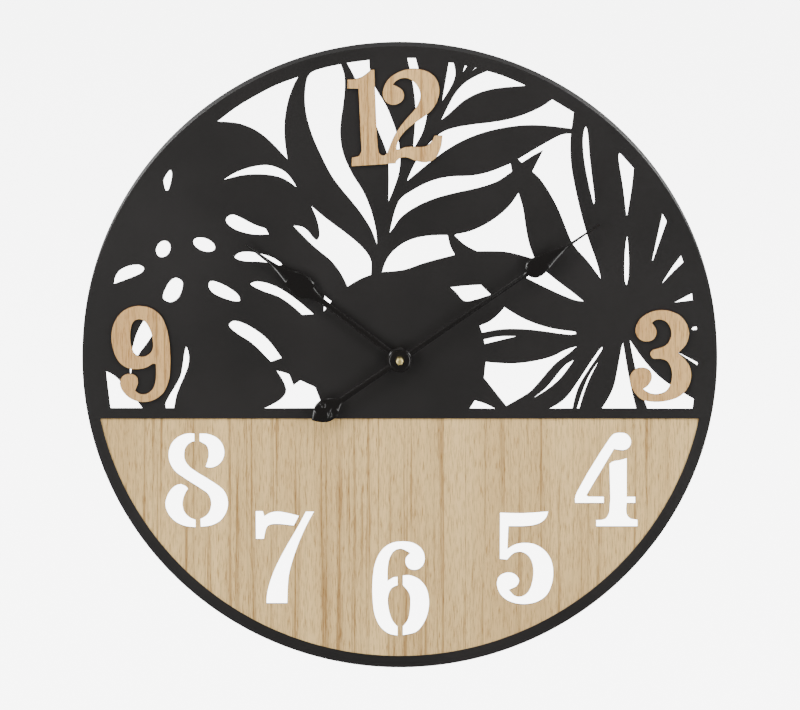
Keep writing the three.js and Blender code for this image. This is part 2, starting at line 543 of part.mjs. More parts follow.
const STENCIL_CUTS = [
  // the numeral 8
  [
    corner(-180.2, -69.8), [-173, -70], [-164.5, -73.3], [-159, -79.5], [-157.1, -87], [-158.6, -94.5],
    [-163.5, -100.2], [-170, -102.4], corner(-175, -101.6), [-172.7, -94.5], [-172, -88],
    [-174, -81.7], corner(-180.2, -77.9),
  ],
  [
    corner(-184, -69.8), [-190, -69.6], [-198, -72.2], [-204.5, -78], [-207.8, -87], [-207, -97],
    [-201.5, -106], [-192, -112.7], [-180, -120.7], [-172.3, -126.8], [-169.8, -134.5], [-172, -142.8],
    [-176.5, -146.8], corner(-179.5, -148.3), corner(-179.2, -156.9), [-170, -155.6], [-161, -151],
    [-155.2, -142], [-154, -132], [-157.5, -122.5], [-166, -115.3], [-179, -107], [-188.5, -100.3],
    [-192.8, -93.5], [-192.3, -84.5], [-188.5, -79.7], corner(-184, -77.9),
  ],
  [
    corner(-183, -157.2), [-192, -156.2], [-201, -152.3], [-208, -145], [-211, -135.5],
    [-208.8, -126.3], [-203.5, -119], [-197, -116.1], [-192, -118], corner(-189.5, -120.8),
    [-192.5, -126], [-194.8, -134.5], [-192.8, -142.3], [-188.5, -146.7], corner(-183, -149.2),
  ],
  // the numeral 7
  [
    corner(-129.8, -141), corner(-122.8, -141), corner(-121.4, -145.4), [-116.5, -142.5],
    [-109, -141.4], [-100, -142.9], corner(-89.8, -145.5), corner(-95, -155.7), [-105, -155.1],
    [-115, -154.3], [-118.8, -156.5], [-120.5, -161.5], corner(-121.8, -167.9), corner(-129.6, -167.9),
  ],
  [
    corner(-84.6, -141.4), corner(-76, -141.4), [-82.3, -153], [-90, -170.3], [-95.8, -187],
    [-99.3, -201], [-100.3, -213], corner(-100.8, -227), corner(-120.2, -227), [-119.6, -217],
    [-115, -200.3], [-108, -184.5], [-99.5, -168.7], [-91.5, -154.7],
  ],
  // the numeral 6
  [
    corner(-1.5, -201.4), [-5.5, -201.7], corner(-10.6, -204.8), [-10.4, -195], [-8.8, -185.5],
    [-4.8, -178.8], [1, -176.9], corner(8.5, -180.5), [5.4, -183.8], [4.8, -190], [8.5, -195.2],
    [14.5, -196.4], [20.5, -193], [22.9, -186], [20.8, -177], [13.5, -170.8], [3, -168.8],
    [-8, -170.6], [-16.5, -177], [-22.3, -188.5], [-24.7, -203], [-24.9, -219], [-23, -237],
    [-17.5, -249], [-9.5, -255.2], corner(-1.6, -256.9), corner(-1.5, -247.6), [-6.2, -241.7],
    [-9.5, -231.5], [-10, -220], [-7, -213.2], corner(-1.5, -210.3),
  ],
  [
    corner(2.4, -200.2), [9, -200], [17, -203.3], [23.5, -210.5], [26.5, -221], [26.2, -232.5],
    [22.5, -244], [15, -253.3], corner(2.4, -256.7), corner(2.4, -247.3), [7, -240.8], [9, -229],
    [8.3, -218.2], corner(2.4, -210.2),
  ],
  // the numeral 5
  [
    corner(89.7, -142.4), [105, -142.9], [120, -142.4], corner(134, -141.2), [132, -147.8],
    [127, -152.7], [118, -155.6], corner(98, -156.2), corner(97.2, -175.4), [103.5, -171.7],
    [112, -170.2], [121, -171.4], [130, -176.8], [135.9, -185], [138.3, -196], [137.3, -208],
    [132.5, -219.2], [123.5, -225.7], [111, -227.9], [98.5, -225.3], [90.2, -218.5], [86.9, -208.5],
    [89.2, -200.8], [97, -197.4], [104, -199.3], [107.7, -205], [105.2, -211.3], corner(99, -214.4),
    [103.5, -219], [109.5, -219.5], [115.3, -215.3], [119, -205], [119.5, -193.5], [116.5, -184.8],
    [110.5, -180.2], [103.5, -180.5], corner(96.6, -187), corner(89.6, -186.3),
  ],
  // the numeral 4
  [
    [197.5, -69], [203.5, -70], [207.7, -75], [207.5, -81.5], [203.5, -85.8], [198.5, -86.3],
    corner(192.6, -85.3), corner(168.4, -126.9), corner(169.5, -127.7), corner(183.8, -127.8),
    corner(183.8, -134.8), corner(157.3, -134.8), [157, -129.5], corner(159.3, -122.8),
    corner(188.3, -74), [192, -70.2],
  ],
  [
    corner(188, -97.6), [191, -95.5], [197.5, -94.2], corner(204.3, -92.2), corner(204.3, -127.8),
    corner(212, -127.8), corner(212, -134.8), corner(204.3, -134.8), [204.2, -143.5], [207, -147.7],
    corner(214, -149), corner(214, -156.3), corner(176.1, -156.3), corner(176.1, -149.2),
    [184.5, -148.1], corner(187.9, -142),
  ],
];

// Half-disc below a level line, as outline points.
function lowerHalf(radius, level, sides) {
  const start = Math.PI - Math.asin(level / radius);
  const end = 2 * Math.PI + Math.asin(level / radius);
  return new THREE.EllipseCurve(0, 0, radius, radius, start, end).getPoints(sides);
}

const BUSH_HOLE_R = 4.2;
const panelOpenings = [
  ...LEAF_OPENINGS.map(outline),
  ...ROUND_OPENINGS,
  lowerHalf(RING_INNER_R, BAR_BOTTOM, 64),
  circle(0, 0, BUSH_HOLE_R),
];
const panelSheet = plate(circle(0, 0, DIAL_R, RIM_SIDES), PANEL_BACK, PANEL_FRONT);
add("leaf_panel", pierced(panelSheet, panelOpenings), blackPaint);

// ---- wooden half and raised numerals ----
const TAB_ANGLES = [200, 240, 300, 340];
const SCREW_R = 266; // screws' distance from the dial centre
const SCREW_TIP = -19.7; // the pilot holes stop inside the wood
const PILOT_R = 1.6;
const woodSheet = pierced(
  plate(lowerHalf(WOOD_R, WOOD_TOP, 64), WOOD_BACK, PANEL_BACK),
  STENCIL_CUTS.map(outline),
);
const pilotHoles = TAB_ANGLES.map((angle) => {
  const at = polar(SCREW_R, angle);
  return rod(PILOT_R, WOOD_BACK + 1, SCREW_TIP - 0.2, 12, at.x, at.y);
});
add("wood_panel", cut(woodSheet, ...pilotHoles), lightWood);
add("numeral_12", plate(outline(TWELVE), PANEL_FRONT, NUMERAL_FRONT), paleWood);
add("numeral_9", plate(outline(NINE), PANEL_FRONT, NUMERAL_FRONT, [outline(NINE_EYE)]), paleWood);
add("numeral_3", plate(outline(THREE_OUTLINE), PANEL_FRONT, NUMERAL_FRONT), paleWood);

// Angle brackets inside the hoop carry the wood from behind, one screw each.
const TAB_THICKNESS = 1.2;
const TAB_BACK = WOOD_BACK + TAB_THICKNESS;
TAB_ANGLES.forEach((angle, i) => {
  const seat = new THREE.Group();
  seat.rotation.y = -degrees(angle);
  dial.add(seat);
  const outer = HOOP_INNER_R - 0.4;
  const foot = plate(rectangle(258, -8, outer, 8), TAB_BACK, WOOD_BACK, [circle(SCREW_R, 0, 1.8, 12)]);
  const leg = block(outer - TAB_THICKNESS, -8, outer, 8, TAB_BACK + 9, WOOD_BACK);
  add(`wood_tab_${i + 1}`, join(foot, leg), blackPaint, seat);
  const profile = [
    [0, SCREW_TIP], [1.4, SCREW_TIP + 0.8], [1.4, TAB_BACK], [3, TAB_BACK],
    [3, TAB_BACK + 1.2], [2.2, TAB_BACK + 2], [0, TAB_BACK + 2],
  ];
  const slot = block(SCREW_R - 4, -0.4, SCREW_R + 4, 0.4, TAB_BACK + 3, TAB_BACK + 1.2);
  add(`wood_screw_${i + 1}`, cut(turned(profile, 16, SCREW_R, 0), slot), steel, seat);
});

// ---- movement: case, cover and fixing through the panel ----
const BUSH_R = 3.9;
const BUSH_BORE_R = 2.75;
const BUSH_FRONT = -27;
const CASE_FLOOR = CASE_FRONT + CASE_WALL; // inside of the case's front wall
const HAND_AXIS = flat(0, 0);
const THIRD_AT = polar(THIRD_DISTANCE, 80);
const MOTION_AT = flat(0, -MOTION_DISTANCE);
const KNOB_AT = flat(0, -MOTION_DISTANCE - KNOB_DISTANCE);
const INTERMEDIATE_AT = polar(INTERMEDIATE_DISTANCE, -45);
const ROTOR_AT = INTERMEDIATE_AT.clone().add(polar(ROTOR_DISTANCE, -10));
const COIL_X = 20.6;
const COIL_LOW = -15;
const COIL_HIGH = 5;

const PIVOT_R = 0.5;
const PIVOT_HOLE_R = 0.58; // running clearance round every pivot
const boss = (at, radius, back, front) =>
  tube(radius, PIVOT_HOLE_R, back, front, 16, at.x, at.y);

function movementCase() {
  const inner = CASE_HALF - CASE_WALL;
  const walls = plate(rectangle(-CASE_HALF, -CASE_HALF, CASE_HALF, CASE_HALF), CASE_BACK, CASE_FRONT);
  const battery = block(-inner, -inner, BATTERY_BAY_RIGHT, inner, 0, CASE_FLOOR);
  const train = block(BATTERY_BAY_RIGHT + 0.8, -inner, inner, inner, 0, CASE_FLOOR);
  const bushHole = rod(BUSH_R + 0.1, 0, -30, 24);
  const shell = cut(walls, battery, train, bushHole);
  const post = (x, z) => rod(1.3, CASE_FLOOR + 5.9, CASE_FLOOR - 0.4, 12, x, z);
  return join(
    shell,
    rod(PIVOT_R, -15.2, CASE_FLOOR - 0.4, 12, MOTION_AT.x, MOTION_AT.y),
    boss(THIRD_AT, 1.2, -16.1, CASE_FLOOR - 0.4),
    boss(KNOB_AT, 1.4, -17.6, CASE_FLOOR - 0.4),
    post(-9, 22),
    post(-9, -22),
    post(24.5, -24),
    post(11.8, 23.5),
  );
}
add("movement_case", movementCase(), blackPlastic);

const COVER_LEFT = BATTERY_BAY_RIGHT + 0.1;
const KNOB_SHAFT_R = 1.2;
function backCover() {
  const sheet = plate(
    rectangle(COVER_LEFT, -CASE_HALF, CASE_HALF, CASE_HALF),
    COVER_BACK,
    CASE_BACK,
    [circle(KNOB_AT.x, KNOB_AT.y, KNOB_SHAFT_R + 0.1, 16)],
  );
  const bosses = [THIRD_AT, HAND_AXIS, INTERMEDIATE_AT, ROTOR_AT].map((at) =>
    boss(at, 1.3, CASE_BACK + 0.4, CASE_BACK - 1.6),
  );
  return join(sheet, ...bosses);
}
add("back_cover", backCover(), blackPlastic);

const PLATE_BACK = -11.9;
const PLATE_FRONT = -12.9;
const CENTRE_JOURNAL_R = 1.2;
add(
  "middle_plate",
  plate(
    [flat(-10.6, -26.3), flat(26.3, -26.3), flat(26.3, -17), flat(15.8, -17), flat(15.8, 9),
      flat(12.6, 13), flat(12.6, 26.3), flat(-10.6, 26.3)],
    PLATE_BACK,
    PLATE_FRONT,
    [
      circle(0, 0, CENTRE_JOURNAL_R + 0.08, 20),
      circle(THIRD_AT.x, THIRD_AT.y, PIVOT_R + 0.5, 16),
      circle(INTERMEDIATE_AT.x, INTERMEDIATE_AT.y, PIVOT_HOLE_R, 16),
      circle(ROTOR_AT.x, ROTOR_AT.y, PIVOT_HOLE_R, 16),
      circle(KNOB_AT.x, KNOB_AT.y, KNOB_SHAFT_R + 0.1, 16),
    ],
  ),
  whitePlastic,
);

add("threaded_bush", tube(BUSH_R, BUSH_BORE_R, CASE_FLOOR, BUSH_FRONT, 24), brass);
add("rubber_gasket", tube(12, BUSH_R + 0.1, PANEL_BACK + 0.5, PANEL_BACK, 32), rubber);
add("flat_washer", tube(7.5, BUSH_R + 0.1, PANEL_FRONT, PANEL_FRONT - 0.6, 32), brass);
add(
  "fixing_nut",
  plate(circle(0, 0, 7, 6), PANEL_FRONT - 0.6, PANEL_FRONT - 3, [circle(0, 0, BUSH_R + 0.1)]),
  brass,
);

// ---- motor: stator, coil and rotor ----
const STATOR_BACK = -8.9;
const STATOR_FRONT = -9.9;
const ROTOR_R = 1.7;
add(
  "stator",
  plate(
    [
      flat(9, -4), flat(7.8, -7), flat(9.6, -10.2), flat(12.4, -10.6), flat(14.6, -14.6), flat(15, -20.2),
      flat(22.8, -20.2), flat(22.8, -16), flat(15.9, -16), flat(15.2, -9), flat(15.2, -3.5), flat(16.4, 6),
      flat(22.8, 6), flat(22.8, 10), flat(14.4, 10), flat(13.4, 2), flat(12, -2),
    ],
    STATOR_BACK,
    STATOR_FRONT,
    [circle(ROTOR_AT.x, ROTOR_AT.y, ROTOR_R + 0.5, 24)],
  ),
  steel,
);
const CORE_FRONT = STATOR_FRONT - 0.9;
add("coil_core", block(COIL_X - 1.2, -20, COIL_X + 1.2, 9.8, STATOR_FRONT, CORE_FRONT), steel);
const bobbinProfile = [
  [1.9, COIL_LOW], [3.6, COIL_LOW], [3.6, COIL_LOW + 0.8], [2.3, COIL_LOW + 0.8],
  [2.3, COIL_HIGH - 0.8], [3.6, COIL_HIGH - 0.8], [3.6, COIL_HIGH], [1.9, COIL_HIGH],
];
const upright = (geometry) =>
  geometry.rotateX(Math.PI / 2).translate(COIL_X, (STATOR_FRONT + CORE_FRONT) / 2, 0);
add("coil_bobbin", upright(turned(bobbinProfile, 20)), whitePlastic);
add("coil_winding", upright(tube(3.3, 2.4, COIL_LOW + 0.9, COIL_HIGH - 0.9, 20)), copper);

// Arbor with a long pivot at each end.
const arbor = (at, radius, back, front) => rod(radius, back, front, 12, at.x, at.y);
const directionOf = (from, to) => to.clone().sub(from).angle();

const rotorDirection = directionOf(INTERMEDIATE_AT, ROTOR_AT);
add(
  "rotor",
  join(
    arbor(ROTOR_AT, 0.4, -6.2, -12.7),
    rod(ROTOR_R, -8.6, -10.2, 20, ROTOR_AT.x, ROTOR_AT.y),
    pinion(TRAIN_PINION, SECONDS_MODULE, meshPhase(rotorDirection, INTERMEDIATE_TEETH, rotorDirection,
      TRAIN_PINION), ROTOR_AT, -10, -11.5),
  ),
  steel,
);

// ---- wheel train ----
const TRAIN_BACK = -10.7; // intermediate and third wheels
const TRAIN_FRONT = -11.4;
const SECONDS_BACK = -9;
const SECONDS_FRONT = -9.7;
const CENTRE_BACK = -14.1;
const CENTRE_FRONT = -14.9;
const MOTION_BACK = -15.9;
const MOTION_FRONT = -16.9;
const HOUR_BACK = -17.5;
const HOUR_FRONT = -18.5;

const intermediateDirection = directionOf(HAND_AXIS, INTERMEDIATE_AT);
add(
  "intermediate_wheel",
  join(
    arbor(INTERMEDIATE_AT, 0.4, -6.2, -12.7),
    wheel(INTERMEDIATE_TEETH, SECONDS_MODULE, rotorDirection, INTERMEDIATE_AT, TRAIN_BACK, TRAIN_FRONT, 0),
    pinion(TRAIN_PINION, SECONDS_MODULE, meshPhase(intermediateDirection, SECONDS_TEETH,
      intermediateDirection, TRAIN_PINION), INTERMEDIATE_AT, -8.7, TRAIN_BACK),
  ),
  whitePlastic,
);

const thirdDirection = directionOf(HAND_AXIS, THIRD_AT);
add(
  "seconds_wheel",
  join(
    arbor(HAND_AXIS, PIVOT_R, -6.2, -24),
    wheel(SECONDS_TEETH, SECONDS_MODULE, intermediateDirection, HAND_AXIS, SECONDS_BACK, SECONDS_FRONT, 0),
    pinion(TRAIN_PINION, THIRD_MODULE, thirdDirection, HAND_AXIS, SECONDS_FRONT, -11.6),
  ),
  whitePlastic,
);
add(
  "third_wheel",
  join(
    arbor(THIRD_AT, PIVOT_R, -6.2, -17.6),
    wheel(THIRD_TEETH, THIRD_MODULE, meshPhase(thirdDirection, TRAIN_PINION, thirdDirection, THIRD_TEETH),
      THIRD_AT, TRAIN_BACK, TRAIN_FRONT, 0),
    pinion(TRAIN_PINION, CENTRE_MODULE, meshPhase(thirdDirection, CENTRE_TEETH, thirdDirection,
      TRAIN_PINION), THIRD_AT, -13.5, -15.5),
  ),
  whitePlastic,
);

const ARBOR_R = 1.6;
const ARBOR_FRONT = -40;
const THREAD_R = 1.25;
const SHOULDER = -35.9; // the minute hand's boss is clamped against this depth
const motionDirection = directionOf(HAND_AXIS, MOTION_AT);
add("centre_wheel", wheel(CENTRE_TEETH, CENTRE_MODULE, thirdDirection, HAND_AXIS, CENTRE_BACK,
  CENTRE_FRONT, ARBOR_R + 0.08), brass);

// Hollow arbor that carries the minute hand, with the pinion that drives the motion work.
function minuteArbor() {
  const profile = [
    [0.62, -12.1], [CENTRE_JOURNAL_R, -12.1], [CENTRE_JOURNAL_R, -13.9], [ARBOR_R, -13.9],
    [ARBOR_R, SHOULDER], [THREAD_R, SHOULDER], [THREAD_R, ARBOR_FRONT], [0, ARBOR_FRONT],
    [0, -24.6], [0.62, -24.6],
  ];
  const body = turned([...profile].reverse(), 24);
  const leaves = pinion(MOTION_PINION, MOTION_MODULE, motionDirection, HAND_AXIS, MOTION_BACK + 0.4,
    MOTION_FRONT - 0.2, ARBOR_R - 0.3);
  return join(body, leaves);
}
add("minute_arbor", minuteArbor(), brass);

const motionPhase = meshPhase(motionDirection, MOTION_PINION, motionDirection, MOTION_TEETH);
add(
  "motion_wheel",
  join(
    wheel(MOTION_TEETH, MOTION_MODULE, motionPhase, MOTION_AT, MOTION_BACK, MOTION_FRONT, PIVOT_HOLE_R),
    pinion(MOTION_PINION, HOUR_MODULE, meshPhase(motionDirection, HOUR_TEETH, motionDirection,
      MOTION_PINION), MOTION_AT, MOTION_FRONT, -18.6, PIVOT_HOLE_R),
  ),
  whitePlastic,
);

const HOUR_TUBE_R = 2.6;
const HOUR_TUBE_FRONT = -31.6;
add(
  "hour_wheel",
  join(
    wheel(HOUR_TEETH, HOUR_MODULE, motionDirection, HAND_AXIS, HOUR_BACK, HOUR_FRONT, ARBOR_R + 0.1),
    tube(HOUR_TUBE_R, ARBOR_R + 0.1, HOUR_FRONT, HOUR_TUBE_FRONT, 24),
  ),
  whitePlastic,
);

// Knob that sets the hands: its pinion turns the motion wheel.
function settingKnob() {
  const lobes = 14;
  const grip = circle(KNOB_AT.x, KNOB_AT.y, 6, 2 * lobes).map((point, i) =>
    i % 2 ? point : point.lerp(KNOB_AT, 0.08),
  );
  const phase = meshPhase(motionDirection, MOTION_TEETH, motionPhase, KNOB_TEETH);
  return join(
    plate(grip, -1.9, -4.1),
    arbor(KNOB_AT, KNOB_SHAFT_R, -4.1, -15.7),
    pinion(KNOB_TEETH, MOTION_MODULE, phase, KNOB_AT, -15.6, -17.2),
    arbor(KNOB_AT, PIVOT_R, -17.2, -18.6),
  );
}
add("setting_knob", settingKnob(), whitePlastic);

// ---- electrics ----
const BATTERY_R = 7.2;
const BATTERY_X = (BATTERY_BAY_RIGHT - CASE_HALF + CASE_WALL) / 2;
const BATTERY_Y = CASE_FLOOR + BATTERY_R + 0.1;
const BATTERY_HALF = 24.6;
const batteryProfile = [
  [0, -BATTERY_HALF], [BATTERY_R, -BATTERY_HALF], [BATTERY_R, BATTERY_HALF], [2.7, BATTERY_HALF],
  [2.7, BATTERY_HALF + 1], [0, BATTERY_HALF + 1],
];
add(
  "aa_battery",
  turned(batteryProfile, 28).rotateX(Math.PI / 2).translate(BATTERY_X, BATTERY_Y, 0),
  batteryWrap,
);
const contactLeaf = (low, high) =>
  block(BATTERY_X - 5, low, BATTERY_X + 5, high, COVER_BACK - 1.6, CASE_FLOOR + 0.4);
add("positive_contact", contactLeaf(BATTERY_HALF + 1.2, BATTERY_HALF + 1.6), steel);
add("negative_contact", contactLeaf(-BATTERY_HALF - 0.9, -BATTERY_HALF - 0.5), steel);

const BOARD_BACK = -8.4;
const BOARD_FRONT = -9.4;
add("circuit_board", block(13.4, 12.4, 26.4, 26.4, BOARD_BACK, BOARD_FRONT), boardGreen);
add("driver_chip", rod(2.2, BOARD_BACK + 0.9, BOARD_BACK, 20, 17, 22.6), blackPlastic);
add(
  "quartz_crystal",
  new THREE.CylinderGeometry(1, 1, 6, 12).rotateZ(Math.PI / 2).translate(20.4, BOARD_BACK + 1.05, 16),
  steel,
);

// ---- hands ----
// Outline of a hand that points along +Z, from its right edge's [distance, half-width] points.
function handOutline(edge) {
  const right = edge.map(([along, half]) => [half, along]);
  const left = edge.map(([along, half]) => [-half, along]).reverse();
  const last = edge.length - 1;
  const ends = new Set([0, last, last + 1, right.length + left.length - 1]);
  return outline([...right, ...left].map(([x, z], i) => (ends.has(i) ? corner(x, z) : [x, z])));
}

function hand(name, angle, blade, bossR, bladeBack, bladeFront, collarR, collarBack, boreR) {
  const turnedHand = new THREE.Group();
  turnedHand.rotation.y = degrees(angle);
  dial.add(turnedHand);
  const bore = rod(boreR, 0, -50, 24);
  const disc = rod(bossR, bladeBack + 0.2, bladeFront - 0.4, 40);
  const collar = rod(collarR, collarBack, bladeBack, 24);
  const sheet = plate(handOutline(blade), bladeBack, bladeFront);
  add(name, cut(join(sheet, disc, collar), bore), glossBlack, turnedHand);
}

const HOUR_BLADE = [
  [3, 2.75], [60, 2.75], [88, 2.75], [92, 3.2], [96, 4], [100, 5.5], [103, 8.5], [107, 9.8], [112, 10.2],
  [117, 9.8], [122, 8], [126, 6], [130, 4.8], [135, 3.5], [140, 2.5], [150, 1.6], [174, 0.8],
];
const MINUTE_BLADE = [
  [-96, 0.3], [-94, 2.8], [-91, 5.8], [-88, 8], [-85, 9.7], [-80, 10.5], [-76, 9.9], [-73, 8.5], [-70, 6],
  [-66, 3.3], [-60, 2.7], [0, 2.5], [60, 2.1], [130, 1.7], [138.5, 1.8], [140, 4.5], [143, 7.5],
  [146, 8.6], [150, 9], [155, 8.2], [160, 6.9], [165, 5.3], [170, 3.9], [175, 2.8], [180, 1.9],
  [188, 1.3], [218, 0.8],
];
const HUB_R = 11;
hand("hour_hand", HOUR_ANGLE, HOUR_BLADE, HUB_R, -29.2, -30.4, 4.6, -28.2, HOUR_TUBE_R + 0.1);
hand("minute_hand", MINUTE_ANGLE, MINUTE_BLADE, HUB_R, -33.9, -35.1, 3.4, -33, ARBOR_R + 0.1);

const NUT_BACK = -36;
const NUT_FRONT = -41;
function handNut() {
  const hexagon = plate(circle(0, 0, 3.65, 6), NUT_BACK, NUT_FRONT);
  const bore = rod(THREAD_R + 0.1, 0, ARBOR_FRONT - 0.2, 16);
  const slot = block(-0.4, -4, 0.4, 4, 0, NUT_FRONT - 1);
  const slotFloor = rod(6, NUT_BACK, NUT_FRONT + 0.5, 6);
  return cut(hexagon, bore, toGeometry(toSolid(slot).subtract(toSolid(slotFloor))));
}
add("hand_nut", handNut(), brass);

export default clock;
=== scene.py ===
"""Looks of the round leaf-panel wall clock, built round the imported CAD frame.

Metres, +Z up, the viewer at -Y. Lengths that are written in millimetres are multiplied by MM.
"""

import json
from math import atan2, cos, pi, radians, sin

import bmesh
import bpy
from mathutils import Matrix, Vector


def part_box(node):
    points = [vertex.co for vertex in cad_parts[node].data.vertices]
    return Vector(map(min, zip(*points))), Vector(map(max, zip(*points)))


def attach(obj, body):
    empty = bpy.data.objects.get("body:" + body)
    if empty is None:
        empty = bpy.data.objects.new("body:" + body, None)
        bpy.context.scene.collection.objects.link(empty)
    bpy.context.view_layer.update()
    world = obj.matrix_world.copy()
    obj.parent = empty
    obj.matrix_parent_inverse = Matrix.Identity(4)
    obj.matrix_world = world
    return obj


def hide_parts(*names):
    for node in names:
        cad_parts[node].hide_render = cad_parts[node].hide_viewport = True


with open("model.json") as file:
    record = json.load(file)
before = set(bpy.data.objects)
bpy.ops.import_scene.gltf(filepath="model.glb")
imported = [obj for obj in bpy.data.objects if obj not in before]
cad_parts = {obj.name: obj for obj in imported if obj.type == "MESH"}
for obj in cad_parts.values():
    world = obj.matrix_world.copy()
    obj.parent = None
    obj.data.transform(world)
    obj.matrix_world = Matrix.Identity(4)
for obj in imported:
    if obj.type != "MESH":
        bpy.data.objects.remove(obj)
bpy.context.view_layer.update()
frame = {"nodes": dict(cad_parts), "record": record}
MM = 0.001

# ---- places taken from the frame ----
panel_low, panel_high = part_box("leaf_panel")
DIAL = Vector((0, panel_low.y, (panel_low.z + panel_high.z) / 2))  # centre of the panel's front
DIAL_R = (panel_high.x - panel_low.x) / 2
DIAL_AXIS = Vector((0, 0, DIAL.z))  # where the hands' axis meets the plane y = 0


# ---- node material helpers ----
class Nodes:
    """A new material with short calls for adding and linking its nodes."""

    def __init__(self, name):
        self.material = bpy.data.materials.new(name)
        self.material.use_nodes = True
        self.tree = self.material.node_tree
        self.shader = self.tree.nodes["Principled BSDF"]

    def feed(self, socket, value):
        """Links another node's output to a socket, or sets the socket to a constant."""
        if isinstance(value, bpy.types.NodeSocket):
            self.tree.links.new(value, socket)
        else:
            socket.default_value = value

    def add(self, kind, inputs=None, **settings):
        node = self.tree.nodes.new(kind)
        for key, value in settings.items():
            setattr(node, key, value)
        for key, value in (inputs or {}).items():
            self.feed(node.inputs[key], value)
        return node

    def set(self, **values):
        """Feeds the shader's inputs, named with underscores for spaces."""
        for key, value in values.items():
            self.feed(self.shader.inputs[key.replace("_", " ")], value)

    def place(self, scale=(1, 1, 1)):
        """The place on the object, stretched along an axis whose scale is under 1."""
        spot = self.add("ShaderNodeTexCoord")
        inputs = {"Vector": spot.outputs["Object"], "Scale": scale}
        return self.add("ShaderNodeMapping", inputs).outputs[0]

    def noise(self, vector, scale, detail=3.0, rough=0.5):
        made = self.add(
            "ShaderNodeTexNoise",
            {"Vector": vector, "Scale": scale, "Detail": detail, "Roughness": rough},
        )
        return made.outputs["Fac"]

    def ramp(self, fac, stops):
        made = self.add("ShaderNodeValToRGB", {"Fac": fac})
        ramp = made.color_ramp
        while len(ramp.elements) < len(stops):
            ramp.elements.new(0.5)
        for element, (at, colour) in zip(ramp.elements, stops):
            element.position = at
            element.color = (*colour, 1)
        return made.outputs["Color"]

    def mix(self, fac, a, b, blend="MIX"):
        made = self.add("ShaderNodeMix", data_type="RGBA", blend_type=blend)
        self.feed(made.inputs[0], fac)
        self.feed(made.inputs[6], a)  # inputs 6 and 7 and output 2 are the node's colour sockets
        self.feed(made.inputs[7], b)
        return made.outputs[2]

    def spread(self, fac, low, high):
        made = self.add("ShaderNodeMapRange", {"Value": fac, "To Min": low, "To Max": high})
        return made.outputs[0]

    def bump(self, height, strength, distance):
        made = self.add(
            "ShaderNodeBump", {"Height": height, "Strength": strength, "Distance": distance}
        )
        self.set(Normal=made.outputs[0])

    def cut_face(self):
        """1 on faces that stand square to the dial, as a cut edge does, and 0 on its flat faces."""
        spot = self.add("ShaderNodeTexCoord")
        parts = self.add("ShaderNodeSeparateXYZ", {"Vector": spot.outputs["Normal"]})
        facing = self.add("ShaderNodeMath", {0: parts.outputs["Y"]}, operation="ABSOLUTE")
        inputs = {"Value": facing.outputs[0], "From Min": 0.55, "From Max": 0.97}
        return self.add("ShaderNodeMapRange", {**inputs, "To Min": 1.0, "To Max": 0.0}).outputs[0]


def powder_coat():
    """Black paint with a fine tooth that catches a soft sheen."""
    n = Nodes("powder_coat")
    grain = n.noise(n.place(), scale=2600, detail=2.0, rough=0.6)
    cloud = n.noise(n.place(), scale=9)
    n.set(
        Base_Color=n.ramp(cloud, [(0.35, (0.0125, 0.0115, 0.011)), (0.7, (0.0175, 0.016, 0.0155))]),
        Roughness=n.spread(grain, 0.3, 0.42),
        Specular_IOR_Level=0.3,
    )
    n.bump(grain, strength=0.25, distance=0.2 * MM)
    return n.material


def wood(name, light, dark, pore, scorched):
    """Straight grain that runs up the dial, with scorched laser-cut edges."""
    n = Nodes(name)
    white = (1, 1, 1)
    bands = n.noise(n.place((1, 1, 0.05)), scale=22, rough=0.6)
    lines = n.noise(n.place((1, 1, 0.012)), scale=230, detail=5.0, rough=0.72)
    fibre = n.noise(n.place((1, 1, 0.06)), scale=1500, rough=0.65)
    base = n.ramp(bands, [(0.36, dark), (0.6, light)])
    streak = n.ramp(lines, [(0.36, (0.52, 0.43, 0.33)), (0.46, white), (0.6, (1.06, 1.05, 1.03))])
    base = n.mix(0.9, base, streak, "MULTIPLY")
    pores = n.ramp(fibre, [(0.34, pore), (0.5, white)])
    base = n.mix(0.9, base, pores, "MULTIPLY")
    edge = n.cut_face()
    soot = n.noise(n.place(), scale=300, detail=2.0)
    burnt = n.ramp(soot, [(0.3, scorched), (0.8, tuple(1.9 * c for c in scorched))])
    n.set(
        Base_Color=n.mix(edge, base, burnt),
        Roughness=n.spread(fibre, 0.52, 0.72),
        Specular_IOR_Level=0.35,
    )
    n.bump(fibre, strength=0.2, distance=0.2 * MM)
    return n.material


def moulded(name, colour, roughness, coat=0.0, grain_scale=1500, relief=0.15):
    """Moulded, rubbery or lacquered surface with a fine grain."""
    n = Nodes(name)
    grain = n.noise(n.place(), scale=grain_scale, detail=2.0, rough=0.55)
    cloud = n.noise(n.place(), scale=25, detail=2.0)
    darker = tuple(0.82 * c for c in colour)
    n.set(
        Base_Color=n.ramp(cloud, [(0.3, darker), (0.7, colour)]),
        Roughness=n.spread(grain, roughness - 0.05, roughness + 0.07),
        Specular_IOR_Level=0.35,
        Coat_Weight=coat,
        Coat_Roughness=0.08,
    )
    n.bump(grain, strength=relief, distance=0.1 * MM)
    return n.material


def metal(name, colour, roughness, stretch=(1, 1, 1)):
    """Metal with fine brushing, drawn out along an axis whose stretch is under 1."""
    n = Nodes(name)
    brushing = n.noise(n.place(stretch), scale=900, rough=0.6)
    tarnish = n.noise(n.place(), scale=60)
    darker = tuple(0.72 * c for c in colour)
    n.set(
        Base_Color=n.ramp(tarnish, [(0.3, darker), (0.65, colour)]),
        Roughness=n.spread(brushing, roughness - 0.06, roughness + 0.12),
        Metallic=1.0,
    )
    n.bump(brushing, strength=0.08, distance=0.1 * MM)
    return n.material


